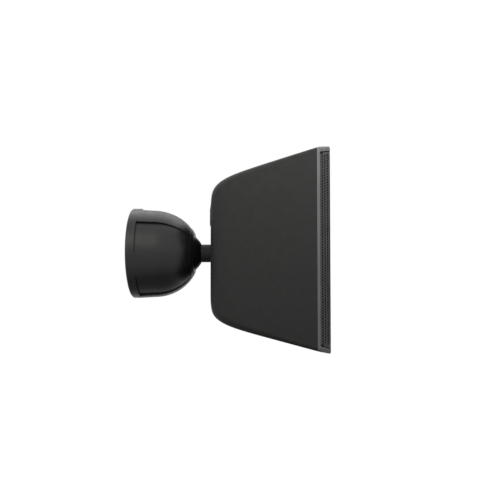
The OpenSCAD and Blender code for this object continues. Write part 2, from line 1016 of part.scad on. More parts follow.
wall_plate();
cable_grommet();
bracket_cage();
bracket_dome();
clamp_cup();
clamp_screws();
base_set_screw();
ball_sleeve();
ball();
stem();
stem_ring();
stem_washer();
stem_nut();
cabinet_shell();
baffle();
baffle_gasket();
baffle_screws();
trim_frame();
grille();
grille_cloth();
terminal_cover();
cover_screws();
terminal_cup();
terminal_block();
terminal_screws();
tap_knob();
transformer_core();
transformer_coil();
crossover_board();
crossover_coils();
crossover_capacitors();
inner_screws();
port_tube();
damping_pad();
woofer_basket();
woofer_top_plate();
woofer_magnet();
woofer_yoke();
woofer_spider();
woofer_surround();
woofer_cone();
woofer_dust_cap();
voice_coil();
woofer_screws();
tweeter_plate();
tweeter_dome();
tweeter_magnet();
tweeter_screws();
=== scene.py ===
"""Looks of a wall speaker on a ball bracket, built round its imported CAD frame.

Blender works in metres. The lengths below are in millimetres where MM turns them into metres.
+X runs from the wall to the grille, and +Z is up.
"""

import json
import math

import bmesh
import bpy
from mathutils import Matrix, Vector


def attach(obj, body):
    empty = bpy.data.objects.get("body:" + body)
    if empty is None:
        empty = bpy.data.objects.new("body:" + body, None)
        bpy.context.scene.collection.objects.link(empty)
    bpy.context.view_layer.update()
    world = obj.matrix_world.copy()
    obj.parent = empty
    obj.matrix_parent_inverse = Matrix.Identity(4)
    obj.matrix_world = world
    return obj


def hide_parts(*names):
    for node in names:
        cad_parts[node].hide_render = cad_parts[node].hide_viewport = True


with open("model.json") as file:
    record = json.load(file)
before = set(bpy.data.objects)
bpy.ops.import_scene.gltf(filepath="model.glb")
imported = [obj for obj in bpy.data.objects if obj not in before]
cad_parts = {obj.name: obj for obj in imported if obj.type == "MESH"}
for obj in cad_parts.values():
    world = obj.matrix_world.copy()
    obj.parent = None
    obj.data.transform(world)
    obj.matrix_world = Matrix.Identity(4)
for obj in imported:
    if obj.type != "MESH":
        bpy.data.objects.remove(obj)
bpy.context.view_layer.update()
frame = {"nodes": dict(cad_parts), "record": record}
NODES = frame["nodes"]
MM = 0.001

# The camera of the photograph: beside the speaker and a little below its ball joint.
CAMERA_AT = Vector((0.14033, -0.686, -0.0511))
CAMERA_PITCH = math.radians(2.2)
CAMERA_LENS = 40.82
CAMERA_SHIFT_Y = 0.0476

FLOOR_AT = (0.1, 0, -0.42)
FLOOR_HALF = 8


def add_camera():
    """The view of the photograph."""
    data = bpy.data.cameras.new("photo_camera")
    data.lens = CAMERA_LENS
    data.sensor_width = 36
    data.shift_y = CAMERA_SHIFT_Y
    data.clip_start, data.clip_end = 0.01, 50
    camera = bpy.data.objects.new("photo_camera", data)
    camera.location = CAMERA_AT
    camera.rotation_euler = (math.radians(90) + CAMERA_PITCH, 0, 0)
    bpy.context.scene.collection.objects.link(camera)
    bpy.context.scene.camera = camera


class Nodes:
    """A short way to write a node tree."""

    def __init__(self, tree):
        self.tree = tree
        tree.nodes.clear()

    def add(self, kind, inputs=None, **settings):
        node = self.tree.nodes.new(kind)
        for key, value in settings.items():
            setattr(node, key, value)
        for key, value in (inputs or {}).items():
            if isinstance(value, bpy.types.NodeSocket):
                self.tree.links.new(value, node.inputs[key])
            else:
                node.inputs[key].default_value = value
        return node


def rgba(rgb):
    return (*rgb, 1.0)


def noise(n, where, scale, detail=4.0, roughness=0.55, stretch=(1, 1, 1)):
    """Noise in object space, at a scale in cycles per metre."""
    mapped = n.add("ShaderNodeMapping", {"Vector": where, "Scale": [scale * s for s in stretch]})
    return n.add("ShaderNodeTexNoise", {"Vector": mapped.outputs[0], "Scale": 1.0, "Detail": detail,
                                        "Roughness": roughness}).outputs["Fac"]


def spread(n, value, low, high):
    """Maps the middle of a noise to the range low..high."""
    return n.add("ShaderNodeMapRange", {"Value": value, "From Min": 0.3, "From Max": 0.7,
                                        "To Min": low, "To Max": high}).outputs[0]


def blend_colours(n, factor, first, second):
    """Mixes two colours, each a plain colour or a socket."""
    mix = n.add("ShaderNodeMix", {"Factor": factor}, data_type="RGBA")
    for index, colour in ((6, first), (7, second)):
        if isinstance(colour, bpy.types.NodeSocket):
            n.tree.links.new(colour, mix.inputs[index])
        else:
            mix.inputs[index].default_value = rgba(colour)
    return mix.outputs[2]


ROUGH_SPREAD = 0.06


def surface(name, colour, roughness, mottle=0.12, mottle_scale=60, grain_scale=1400, grain_depth=0.02,
            metallic=0.0, specular=0.5, stretch=(1, 1, 1), sheen=0.0, streaks=0.0, edge=0.0):
    """A procedural finish in object space: cloudy colour, uneven gloss, fine grain and softened edges."""
    material = bpy.data.materials.new(name)
    material.use_nodes = True
    n = Nodes(material.node_tree)
    where = n.add("ShaderNodeTexCoord").outputs["Object"]
    cloud = noise(n, where, mottle_scale, 5.0)
    grain = noise(n, where, grain_scale, 3.0, 0.6, stretch)
    tone = spread(n, cloud, 0.0, 1.0)
    dark = [c * (1 - mottle) for c in colour]
    light = [min(c * (1 + mottle), 1.0) for c in colour]
    base = blend_colours(n, tone, dark, light)
    if streaks:
        line = noise(n, where, grain_scale * 0.6, 2.0, 0.5, stretch)
        base = blend_colours(n, spread(n, line, 0.0, streaks), base, [min(c * 1.6, 1.0) for c in colour])
    patches = noise(n, where, mottle_scale * 2.6, 4.0)
    gloss = spread(n, patches, roughness - ROUGH_SPREAD, roughness + ROUGH_SPREAD)
    bump = n.add("ShaderNodeBump", {"Height": grain, "Strength": 0.5, "Distance": grain_depth * MM})
    if edge:
        soft = n.add("ShaderNodeBevel", {"Radius": edge * MM}, samples=6)
        n.tree.links.new(soft.outputs[0], bump.inputs["Normal"])
    shader = n.add("ShaderNodeBsdfPrincipled", {
        "Base Color": base, "Roughness": gloss, "Metallic": metallic, "Specular IOR Level": specular,
        "Sheen Weight": sheen, "Normal": bump.outputs[0]})
    n.add("ShaderNodeOutputMaterial", {"Surface": shader.outputs[0]})
    return material


def woven(name, colour, pitch, roughness=0.9, depth=0.1, sheen=0.2, specular=0.25):
    """Cloth: two crossed waves in object space, one thread to a pitch in mm."""
    material = bpy.data.materials.new(name)
    material.use_nodes = True
    n = Nodes(material.node_tree)
    where = n.add("ShaderNodeTexCoord").outputs["Object"]
    heights = []
    for axis in ("Y", "Z"):
        threads = {"Vector": where, "Scale": math.tau / 20 / (pitch * MM), "Distortion": 0.6, "Detail": 1.0}
        wave = n.add("ShaderNodeTexWave", threads, bands_direction=axis)
        heights.append(wave.outputs["Fac"])
    weave = n.add("ShaderNodeMath", {0: heights[0], 1: heights[1]}, operation="MULTIPLY").outputs[0]
    fuzz = noise(n, where, 900, 4.0)
    height = n.add("ShaderNodeMath", {0: weave, 1: fuzz}, operation="ADD").outputs[0]
    base = blend_colours(n, weave, [c * 0.55 for c in colour], colour)
    bump = n.add("ShaderNodeBump", {"Height": height, "Strength": 0.8, "Distance": depth * MM})
    shader = n.add("ShaderNodeBsdfPrincipled", {
        "Base Color": base, "Roughness": roughness, "Sheen Weight": sheen, "Specular IOR Level": specular,
        "Normal": bump.outputs[0]})
    n.add("ShaderNodeOutputMaterial", {"Surface": shader.outputs[0]})
    return material


FINISHES = {
    "zinc": surface("zinc", (0.30, 0.30, 0.31), 0.5, grain_scale=700, grain_depth=0.05),
    "rubber_black": surface("rubber_black", (0.018, 0.018, 0.018), 0.62, grain_scale=900),
    "bracket_black": surface("bracket_black", (0.0085, 0.0082, 0.0079), 0.36, mottle=0.1, grain_scale=1800,
                             grain_depth=0.006, edge=0.4),
    "nylon_black": surface("nylon_black", (0.02, 0.02, 0.02), 0.5),
    "nylon_white": surface("nylon_white", (0.62, 0.6, 0.55), 0.45, mottle=0.05),
    "ball_black": surface("ball_black", (0.005, 0.005, 0.005), 0.4, grain_depth=0.005, specular=0.2),
    "neck_black": surface("neck_black", (0.024, 0.024, 0.024), 0.6, grain_scale=1200, grain_depth=0.01,
                          specular=0.25),
    "bare_steel": surface("bare_steel", (0.56, 0.56, 0.57), 0.34, metallic=1.0, mottle=0.06,
                          stretch=(0.15, 1, 1)),
    "charcoal_plastic": surface("charcoal_plastic", (0.0285, 0.028, 0.0275), 0.6, mottle=0.05,
                                grain_scale=1500, grain_depth=0.03, specular=0.3, edge=0.3),
    "baffle_black": surface("baffle_black", (0.012, 0.012, 0.012), 0.75, grain_depth=0.05, specular=0.3),
    "foam_black": surface("foam_black", (0.012, 0.012, 0.012), 0.95, grain_scale=1800, grain_depth=0.2),
    "frame_grey": surface("frame_grey", (0.182, 0.182, 0.188), 0.42, mottle=0.06, grain_scale=1500,
                          grain_depth=0.012, edge=0.5),
    "grille_black": surface("grille_black", (0.088, 0.088, 0.089), 0.55, mottle=0.1, grain_scale=2200,
                            grain_depth=0.02, specular=0.4),
    # The scrim is nearly black, darker than black cloth: its colour is partly the cloth's and partly painted
    # shade seen through the grille's holes.
    "scrim_black": woven("scrim_black", (0.003, 0.003, 0.003), 0.5, sheen=0.0, specular=0.05),
    "terminal_green": surface("terminal_green", (0.08, 0.28, 0.13), 0.4, mottle=0.06),
    "brass": surface("brass", (0.72, 0.56, 0.28), 0.3, metallic=1.0, mottle=0.08),
    "knob_grey": surface("knob_grey", (0.2, 0.2, 0.21), 0.45),
    "core_iron": surface("core_iron", (0.09, 0.09, 0.095), 0.5, grain_scale=800, stretch=(6, 0.2, 0.2),
                         streaks=0.4),
    "copper_wire": surface("copper_wire", (0.62, 0.26, 0.1), 0.35, metallic=1.0, grain_scale=1400,
                           stretch=(4, 0.3, 0.3), grain_depth=0.15),
    "board_green": surface("board_green", (0.03, 0.15, 0.06), 0.4, mottle=0.2, mottle_scale=200),
    "felt_grey": surface("felt_grey", (0.24, 0.24, 0.23), 0.95, mottle=0.3, mottle_scale=400,
                         grain_scale=1100, grain_depth=0.4, sheen=0.3, specular=0.2),
    "basket_black": surface("basket_black", (0.03, 0.03, 0.03), 0.45, grain_scale=900, grain_depth=0.03),
    "ferrite": surface("ferrite", (0.05, 0.05, 0.055), 0.6, grain_scale=700, grain_depth=0.06, streaks=0.3),
    "spider_cloth": woven("spider_cloth", (0.42, 0.26, 0.08), 0.8),
    "cone_paper": surface("cone_paper", (0.035, 0.034, 0.033), 0.85, mottle=0.25, mottle_scale=260,
                          grain_scale=900, grain_depth=0.12, specular=0.25),
    "dome_silk": woven("dome_silk", (0.06, 0.06, 0.065), 0.4, roughness=0.55),
}
SLOT_OF = {part["node"]: part["material_slot"] for part in frame["record"]["subparts"]}


def paint(obj, slot):
    """Gives an object the one finish of its slot."""
    obj.data.materials.clear()
    obj.data.materials.append(FINISHES[slot])
    return obj


def add_piece(name, bm, body, slot, replaces=(), smooth_angle=None):
    """Turns a bmesh into a piece that rides on a body and takes a slot's finish."""
    bmesh.ops.recalc_face_normals(bm, faces=bm.faces)
    mesh = bpy.data.meshes.new(name)
    bm.to_mesh(mesh)
    bm.free()
    obj = bpy.data.objects.new(name, mesh)
    bpy.context.scene.collection.objects.link(obj)
    if smooth_angle is not None:
        mesh.shade_smooth()
        mesh.set_sharp_from_angle(angle=math.radians(smooth_angle))
    paint(obj, slot)
    if replaces:
        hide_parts(*replaces)
    if body:
        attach(obj, body)
    return obj


# Distances from the wall: where the shell meets the frame, the rear of the frame's mouth, the grille's face
# and the cabinet's back.
FRAME_X, STRIP_X, FRONT_X, BACK_X = 213.3, 216.4, 229.0, 94.5
# Half width and half height of the cabinet at FRAME_X, and how much they lose for each mm further back.
HALF_W, HALF_H = 74.0, 111.4
TAPER_H, TAPER_W = 0.247, 0.28
WALL = 3.0
# The rounding toward the back: how far in front of the back it starts, how much it takes off, and its power.
ROUND_H = (80.4, 33, 4.9)
ROUND_W = (32, 13, 2.7)
FRONT_CORNER, BACK_CORNER = 4.5, 11.8
CORNER_SEGMENTS = 14
SIDE_SEGMENTS = 6


def rounded_off(x, skin, rounding):
    """How far a wall has drawn in at x, for the outside or for a skin that many mm further in."""
    run, drop, power = rounding
    t = x - BACK_X - skin
    run, drop = run - skin, drop - skin
    if t >= run:
        return 0.0
    bend = max(1 - max(t, 0.0) / run, 0.0)
    return drop * (1 - (1 - bend ** power) ** (1 / power))


def shell_half_height(x, skin):
    return HALF_H - TAPER_H * (FRAME_X - x) - skin - rounded_off(x, skin, ROUND_H)


def shell_half_width(x, skin):
    return HALF_W - TAPER_W * (FRAME_X - x) - skin - rounded_off(x, skin, ROUND_W)


def shell_corner(x, skin):
    back = max(FRAME_X - x, 0) / (FRAME_X - BACK_X)
    return FRONT_CORNER + (BACK_CORNER - FRONT_CORNER) * back ** 1.5 - skin * 0.7


def corner_points(y, z, half_w, half_h, r, steps):
    """The four corner arcs of a rounded rectangle, one after another, as (y, z) points."""
    points = []
    for quarter in range(4):
        sy = 1 if quarter in (0, 3) else -1
        sz = 1 if quarter < 2 else -1
        for i in range(steps + 1):
            a = math.radians(90 * (quarter + i / steps))
            points.append((y + sy * (half_w - r) + r * math.cos(a), z + sz * (half_h - r) + r * math.sin(a)))
    return points


def rounded_ring(x, half_w, half_h, r):
    """Points of a rounded rectangle in the plane X = x, with points along its sides."""
    corners = corner_points(0, 0, half_w, half_h, r, CORNER_SEGMENTS)
    ring = []
    step = CORNER_SEGMENTS + 1
    for quarter in range(4):
        arc = corners[quarter * step:(quarter + 1) * step]
        ring += arc
        (y0, z0), (y1, z1) = arc[-1], corners[(quarter + 1) * step % len(corners)]
        for i in range(1, SIDE_SEGMENTS):
            f = i / SIDE_SEGMENTS
            ring.append((y0 + (y1 - y0) * f, z0 + (z1 - z0) * f))
    return [Vector((x, y, z)) for y, z in ring]


def shell_rings(skin):
    """Rings of the shell's outside, or of its inside, from the front to the middle of the back."""
    run = ROUND_H[0]
    places = [FRAME_X - k * (FRAME_X - BACK_X - run) / 6 for k in range(7)]
    places += [BACK_X + skin + (run - skin) * (1 - k / 44) ** 2.6 for k in range(1, 45)]
    rings = [rounded_ring(x, shell_half_width(x, skin), shell_half_height(x, skin), shell_corner(x, skin))
             for x in places]
    back = BACK_X + skin
    for f in (0.93, 0.86, 0.76, 0.64, 0.5, 0.34, 0.18):
        rings.append(rounded_ring(back - 1 + f * f, shell_half_width(back, skin) * f,
                                  shell_half_height(back, skin) * f, shell_corner(BACK_X, skin) * f))
    return rings


def skin_rings(bm, rings, first_tip, last_tip):
    """Joins rings of equal length in a row, and closes both ends to a point."""
    rows = [[bm.verts.new(p * MM) for p in ring] for ring in rings]
    count = len(rows[0])
    for a, b in zip(rows, rows[1:]):
        for i in range(count):
            j = (i + 1) % count
            bm.faces.new((a[i], a[j], b[j], b[i]))
    for row, tip in ((rows[0], first_tip), (rows[-1], last_tip)):
        point = bm.verts.new(Vector(tip) * MM)
        for i in range(count):
            bm.faces.new((row[i], row[(i + 1) % count], point))


def prism(bm, outline, start, end, sideways=False):
    """A closed prism along X over an outline of (y, z) points, or sideways along Y over (x, z) points."""
    ends = [[bm.verts.new(Vector((a, s, b) if sideways else (s, a, b)) * MM) for a, b in outline]
            for s in (start, end)]
    count = len(outline)
    for i in range(count):
        j = (i + 1) % count
        bm.faces.new((ends[0][i], ends[0][j], ends[1][j], ends[1][i]))
    bm.faces.new(ends[0])
    bm.faces.new(ends[1])


def round_outline(y, z, r, steps=48):
    angles = [math.tau * k / steps for k in range(steps)]
    return [(y + r * math.cos(a), z + r * math.sin(a)) for a in angles]


def box_outline(y, z, half_w, half_h, r, steps=8):
    return corner_points(y, z, half_w, half_h, r, steps)


def temporary(bm):
    """An object that holds a mesh while a Boolean works on it."""
    bmesh.ops.recalc_face_normals(bm, faces=bm.faces)
    mesh = bpy.data.meshes.new("temporary")
    bm.to_mesh(mesh)
    bm.free()
    obj = bpy.data.objects.new("temporary", mesh)
    bpy.context.scene.collection.objects.link(obj)
    return obj


def combine(bm, operation, prisms):
    """Adds prisms to a closed mesh, or cuts them from it, and returns the new mesh."""
    tools = bmesh.new()
    for args in prisms:
        prism(tools, *args)
    base, tool = temporary(bm), temporary(tools)
    modifier = base.modifiers.new("combine", "BOOLEAN")
    modifier.operation, modifier.solver, modifier.object = operation, "EXACT", tool
    result = bmesh.new()
    result.from_object(base, bpy.context.evaluated_depsgraph_get())
    for obj in (base, tool):
        mesh = obj.data
        bpy.data.objects.remove(obj)
        bpy.data.meshes.remove(mesh)
    return result


# What the shell carries: pillars for the baffle, posts for the board and the transformer, and the recess
# with its two screw holes that the terminal cover closes.
PILLARS = [(y * 59, z * 96) for y in (-1, 1) for z in (-1, 0, 1)]
BOARD_POSTS = [(y * 18.5, -44 + z * 16.5) for y in (-1, 1) for z in (-1, 1)]
TALL_POSTS = [(y * 17.5, 66) for y in (-1, 1)]
RECESS_Z = 44.5
COVER_SCREW_Y = 22
STEM_R, NECK_R = 8, 10.75


def columns_at(places, r, start, end, steps=48):
    """One round prism at each place."""
    return [(round_outline(y, z, r, steps), start, end) for y, z in places]


def make_shell():
    """The cabinet's moulded housing: a smooth double skin with its pillars, posts and openings."""
    bm = bmesh.new()
    inner, outer = shell_rings(WALL), shell_rings(0)
    skin_rings(bm, inner[::-1] + outer, (BACK_X + WALL - 1, 0, 0), (BACK_X - 1, 0, 0))
    bm = combine(bm, "UNION",
                 columns_at(PILLARS, 4.4, FRAME_X - 37, FRAME_X - 9)
                 + columns_at(BOARD_POSTS, 3, BACK_X + 2, BACK_X + 12, 32)
                 + columns_at(TALL_POSTS, 3, BACK_X + 2, BACK_X + 28, 32))
    cover_screws = [(y * COVER_SCREW_Y, RECESS_Z) for y in (-1, 1)]
    bm = combine(bm, "DIFFERENCE",
                 columns_at(PILLARS, 1.5, FRAME_X - 23, FRAME_X, 24)
                 + columns_at(BOARD_POSTS, 1.2, BACK_X + 4, BACK_X + 13, 24)
                 + columns_at(TALL_POSTS, 1.2, BACK_X + 14, BACK_X + 29, 24)
                 + [(round_outline(0, 0, STEM_R + 0.15, 64), BACK_X - 4, BACK_X + 20),
                    (box_outline(0, RECESS_Z, 19, 11.5, 2), BACK_X - 4, BACK_X + 10)]
                 + columns_at(cover_screws, 1.1, BACK_X - 4, BACK_X + 10, 24))
    bm = combine(bm, "DIFFERENCE",
                 [(round_outline(0, 0, NECK_R + 0.1, 64), BACK_X - 4, BACK_X + 0.6),
                  (box_outline(0, RECESS_Z, 25, 13.5, 3), BACK_X - 4, BACK_X + 0.9)])
    return add_piece("shell", bm, "cabinet", "charcoal_plastic", ["cabinet_shell"], 28)


# The trim frame's top and bottom bars, the round rear corners of its mouth, and its front edge, whose
# half width and half height draw in over the last 1.3 mm.
BAR = 5.8
MOUTH_R = 2.4
FRONT_EDGE = ((1.3, 64.6, 0, 4.5), (0.6, 63.9, 0.18, 4.6), (0.2, 63.4, 0.35, 4.7), (0, 62.9, 0.65, 4.8))


def frame_height(x):
    """Half height of the frame's outside."""
    return HALF_H + TAPER_H * (x - FRAME_X)


def make_frame():
    """The trim frame: two bars, two strips and the rounded mouth that the grille sits in."""
    rings = [rounded_ring(FRAME_X, HALF_W, HALF_H, FRONT_CORNER),
             rounded_ring(STRIP_X, HALF_W + 0.2, frame_height(STRIP_X), FRONT_CORNER)]
    for behind, half_w, lower, r in FRONT_EDGE:
        x = FRONT_X - behind
        rings.append(rounded_ring(x, half_w, frame_height(x) - lower, r))
    bm = bmesh.new()
    skin_rings(bm, rings, (FRAME_X, 0, 0), (FRONT_X, 0, 0))
    past_front = FRONT_X + 1
    low, high = frame_height(STRIP_X) - BAR, frame_height(past_front) - BAR
    turns = [math.radians(15 * k) for k in range(7)]
    arc = [(STRIP_X + MOUTH_R * (1 - math.cos(a)), low - MOUTH_R * (1 - math.sin(a))) for a in turns]
    mouth = [(x, -z) for x, z in arc[::-1]] + arc + [(past_front, high), (past_front, -high)]
    bm = combine(bm, "DIFFERENCE", [(mouth, -HALF_W - 5, HALF_W + 5, True)])
    bm = combine(bm, "DIFFERENCE", [(box_outline(0, 0, 64, 99.5, 5), FRAME_X - 1, FRONT_X)])
    return add_piece("grey_frame", bm, "cabinet", "frame_grey", ["trim_frame"], 30)


class Folded:
    """The grille's folded sheet: maps a place on its flat pattern to space."""

    thickness, radius = 0.7, 3.0
    # How far the leaning sides come in over their depth, and the angle that gives.
    come_in = 10.3
    lean = math.atan(come_in / (FRONT_X - STRIP_X))
    # The slit between the sheet and the bars, and how much of its rear corners is cut off.
    slit, corner_cut = 1.1, 1.8

    def __init__(self):
        half = math.radians(90) - self.lean
        bend_run = self.radius * math.tan(half / 2)
        self.fold_y = HALF_W - self.come_in - bend_run
        self.bend_end = self.fold_y + self.radius * half
        self.side = (FRONT_X - STRIP_X) / math.cos(self.lean) - bend_run
        self.end = self.bend_end + self.side

    def at(self, u, depth):
        """X and Y at distance u from the middle, measured along the outer face."""
        way, sign = abs(u), -1 if u < 0 else 1
        if way <= self.fold_y:
            return FRONT_X - depth, u
        r = self.radius - depth
        a = (min(way, self.bend_end) - self.fold_y) / self.radius
        x, y = FRONT_X - self.radius + r * math.cos(a), self.fold_y + r * math.sin(a)
        past = way - self.bend_end
        if past > 0:
            if way > self.end - 0.5:
                past = (x - STRIP_X - 0.1) / math.cos(self.lean)
            x, y = x - past * math.cos(self.lean), y + past * math.sin(self.lean)
        return x, sign * y

    def top(self, x):
        """Half height of the sheet: it flares forward as the frame does, with its rear corners cut off."""
        past = x - STRIP_X - self.corner_cut
        depth = FRONT_X - STRIP_X
        flare = TAPER_H * depth / (depth - self.corner_cut)
        return frame_height(STRIP_X) - BAR - self.slit + past * (1 if past < 0 else flare)


# The perforation: staggered rows, with the columns' distances from the sheet's rear edge on its sides.
PITCH_Y, PITCH_Z, HOLE_R = 2.6, 3.0, 1.25
FLAT_COLUMNS = 23
SIDE_COLUMNS = (15.4, 11.8, 7.75, 3.75)
CELL_ROWS = 70
HOLE_SIDES = 8
# Where the hexagon's corners lie round a hole, in degrees, to join it to the hole's rim.
CELL_TURNS = (0, 49, 131, 180, 229, 311, 360)
# A level is a height in half pitches. EDGE stands for the sheet's own top or bottom.
EDGE = 1000
# Heights that the sheet's rear edge is squeezed from, where its corners are cut off.
REAR_EDGE_Z, REAR_FULL_Z = 105.6, 105.7


class Perforation:
    """The mesh of the folded sheet: one cell with a round hole in each place, cut right through."""

    def __init__(self, sheet, columns):
        self.sheet = sheet
        self.lines = [-sheet.end] + [(a + b) / 2 for a, b in zip(columns, columns[1:])] + [sheet.end]
        self.verts, self.faces, self.corners = [], [], {}
        for column, u in enumerate(columns):
            rows = CELL_ROWS - column % 2
            for row in range(rows):
                self.add_cell(column, u, 2 * row - (rows - 1))
            for sign in (1, -1):
                self.add_margin(column, rows, sign)
        self.add_rear_edge(0, 1)
        self.add_rear_edge(len(self.lines) - 1, -1)

    def add_vert(self, x, y, z):
        self.verts.append((x * MM, y * MM, z * MM))
        return len(self.verts) - 1

    def add_face(self, points, depth):
        """A face of the outer skin, at depth 0, or of the inner one, which is turned round."""
        self.faces.append(points if depth == 0 else points[::-1])

    def corner(self, line, level, depth):
        """The shared point where a line between two columns meets a level."""
        key = (line, level, depth)
        if key not in self.corners:
            x, y = self.sheet.at(self.lines[line], depth)
            high = self.sheet.top(x)
            z = abs(level) * PITCH_Z / 2
            if line in (0, len(self.lines) - 1):
                z = (REAR_EDGE_Z if abs(level) == EDGE else z) * high / REAR_FULL_Z
            elif abs(level) == EDGE:
                z = high
            self.corners[key] = self.add_vert(x, y, math.copysign(z, level))
        return self.corners[key]

    def add_cell(self, column, u, level):
        """A hexagon with a hole in its middle, on both skins, and the wall of the hole."""
        rims = []
        for depth in (0, self.sheet.thickness):
            rim = []
            for k in range(HOLE_SIDES):
                a = math.tau * k / HOLE_SIDES
                x, y = self.sheet.at(u + HOLE_R * math.cos(a), depth)
                rim.append(self.add_vert(x, y, level * PITCH_Z / 2 + HOLE_R * math.sin(a)))
            rims.append(rim)
            around = [(1, 0), (1, 1), (0, 1), (0, 0), (0, -1), (1, -1)]
            ring = [self.corner(column + side, level + step, depth) for side, step in around]
            self.join_ring(ring, rim, depth)
        outer, inner = rims
        for k in range(HOLE_SIDES):
            j = (k + 1) % HOLE_SIDES
            self.faces.append([outer[k], outer[j], inner[j], inner[k]])

    def join_ring(self, ring, rim, depth):
        """Fills the space between a cell's hexagon and its hole with triangles."""
        turn = 360 / HOLE_SIDES
        o = i = 0
        while o < len(ring) or i < HOLE_SIDES:
            if i == HOLE_SIDES or (o < len(ring) and CELL_TURNS[o + 1] <= turn * (i + 1)):
                self.add_face([ring[o], ring[(o + 1) % len(ring)], rim[i % HOLE_SIDES]], depth)
                o += 1
            else:
                self.add_face([ring[o % len(ring)], rim[(i + 1) % HOLE_SIDES], rim[i % HOLE_SIDES]], depth)
                i += 1

    def add_margin(self, column, rows, sign):
        """The plain strip beyond a column's last hole, up to the sheet's edge, and the edge itself."""
        levels = [sign * rows, sign * EDGE]
        if rows != CELL_ROWS:
            levels.insert(1, sign * CELL_ROWS)
        thickness = self.sheet.thickness
        for depth in (0, thickness):
            for a, b in zip(levels, levels[1:]):
                strip = [self.corner(column, a, depth), self.corner(column + 1, a, depth),
                         self.corner(column + 1, b, depth), self.corner(column, b, depth)]
                self.add_face(strip[::sign], depth)
        edge = [self.corner(column, sign * EDGE, 0), self.corner(column + 1, sign * EDGE, 0),
                self.corner(column + 1, sign * EDGE, thickness), self.corner(column, sign * EDGE, thickness)]
        self.faces.append(edge[::sign])

    def add_rear_edge(self, line, sign):
        """The sheet's edge along its first or last line."""
        chain = [-EDGE] + list(range(-CELL_ROWS, CELL_ROWS + 1)) + [EDGE]
        thickness = self.sheet.thickness
        for a, b in zip(chain, chain[1:]):
            wall = [self.corner(line, a, 0), self.corner(line, b, 0),
                    self.corner(line, b, thickness), self.corner(line, a, thickness)]
            self.faces.append(wall[::sign])


def make_grille():
    """The perforated steel sheet, folded round both sides of the front."""
    sheet = Folded()
    flat = [PITCH_Y * k for k in range(-FLAT_COLUMNS, FLAT_COLUMNS + 1)]
    side = [sheet.end - d for d in SIDE_COLUMNS]
    holes = Perforation(sheet, [-u for u in side[::-1]] + flat + side)
    mesh = bpy.data.meshes.new("perforated_grille")
    mesh.from_pydata(holes.verts, [], holes.faces)
    bm = bmesh.new()
    bm.from_mesh(mesh)
    bpy.data.meshes.remove(mesh)
    return add_piece("perforated_grille", bm, "cabinet", "grille_black", ["grille"], 40)


# The scrim's closed section: depth below the steel's face, which half, and height past the steel's edge. The
# part past the steel's edge is a dark lip in the slit below the bars, a painted shadow line.
SCRIM_SECTION = ((1.25, -1, 0.9), (0.15, -1, 0.9), (0.15, -1, 0.1), (0.75, -1, 0.1),
                 (0.75, 1, 0.1), (0.15, 1, 0.1), (0.15, 1, 0.9), (1.25, 1, 0.9))
# What each long edge of the cloth adds to its flat height, with its dark lip in the slit, a painted shadow
# line, and how far its short edges stay from the steel's.
SCRIM_SHADOW_LIP, SCRIM_SHORT = 1.5, 0.6


def make_scrim():
    """The cloth behind the grille: glued to the folded steel, its long edges turned up round the steel's into
    the slits below the bars, where they paint the slits' shadow.
    """
    sheet = Folded()
    bend = sheet.bend_end - sheet.fold_y
    half = [sheet.fold_y * k / 10 for k in range(10)]
    half += [sheet.fold_y + bend * k / 8 for k in range(9)]
    half += [sheet.bend_end + sheet.side * k / 6 for k in range(1, 6)]
    half.append(sheet.end - SCRIM_SHORT)
    stations = [-u for u in half[:0:-1]] + half
    heights = [sheet.top(sheet.at(u, 0)[0]) for u in stations]
    bm = bmesh.new()
    rings = []
    for u, height in zip(stations, heights):
        ring = []
        # Points past the steel's edge form the dark lips in the slit: a painted shadow line, not cloth that a
        # real grille shows there.
        for depth, sign, past in SCRIM_SECTION:
            x, y = sheet.at(u, depth)
            ring.append(bm.verts.new(Vector((x, y, sign * (height + past))) * MM))
        rings.append(ring)
    count = len(SCRIM_SECTION)
    for a, b in zip(rings, rings[1:]):
        for i in range(count):
            j = (i + 1) % count
            bm.faces.new((a[i], a[j], b[j], b[i]))
    bm.faces.new(rings[0])
    bm.faces.new(rings[-1])
    piece = add_piece("scrim", bm, "cabinet", "scrim_black", ["grille_cloth"], 30)
    height = 2 * sum(heights) / len(heights) + 2 * SCRIM_SHADOW_LIP
    return piece


# The terminal cover's half size, how far it stands proud of the back, and where its slope starts and ends.
COVER_HALF = (24.8, 13.3)
COVER_PROUD = 1.15
SLOPE_START, SLOPE_END = 49.0, 57.8


def cover_face(z):
    """X of the cover's outer face: flat, then sloping down into the back."""
    return BACK_X - COVER_PROUD * (1 - max(z - SLOPE_START, 0) / (SLOPE_END - SLOPE_START))


def make_cover():
    """The terminal cover: a thin plate whose upper edge slopes down into the back."""
    bm = bmesh.new()
    half_w, half_h = COVER_HALF
    outline = box_outline(0, RECESS_Z, half_w, half_h, 2.8, 10)
    left = next(i for i, (y, z) in enumerate(outline) if y < 0 and z < SLOPE_START)
    outline = outline[:left] + [(-half_w, SLOPE_START)] + outline[left:] + [(half_w, SLOPE_START)]
    inside = [bm.verts.new(Vector((BACK_X + 0.9, y, z)) * MM) for y, z in outline]
    outside = [bm.verts.new(Vector((cover_face(z), y, z)) * MM) for y, z in outline]
    count = len(outline)
    for i in range(count):
        j = (i + 1) % count
        bm.faces.new((inside[i], inside[j], outside[j], outside[i]))
    bm.faces.new(inside)
    bm.faces.new([outside[-1]] + outside[:left + 1])
    bm.faces.new(outside[left:])
    screws = [(y * COVER_SCREW_Y, RECESS_Z) for y in (-1, 1)]
    bm = combine(bm, "DIFFERENCE", columns_at(screws, 1.2, BACK_X - 3, BACK_X + 3, 24))
    return add_piece("sloped_cover", bm, "cabinet", "charcoal_plastic", ["terminal_cover"], 30)


# The damping pad's half length, half width and thickness, its place, and its number of cells each way.
PAD_SIZE = (22.0, 30.0, 8.0)
PAD_X = BACK_X + 75
PAD_GRID = 24


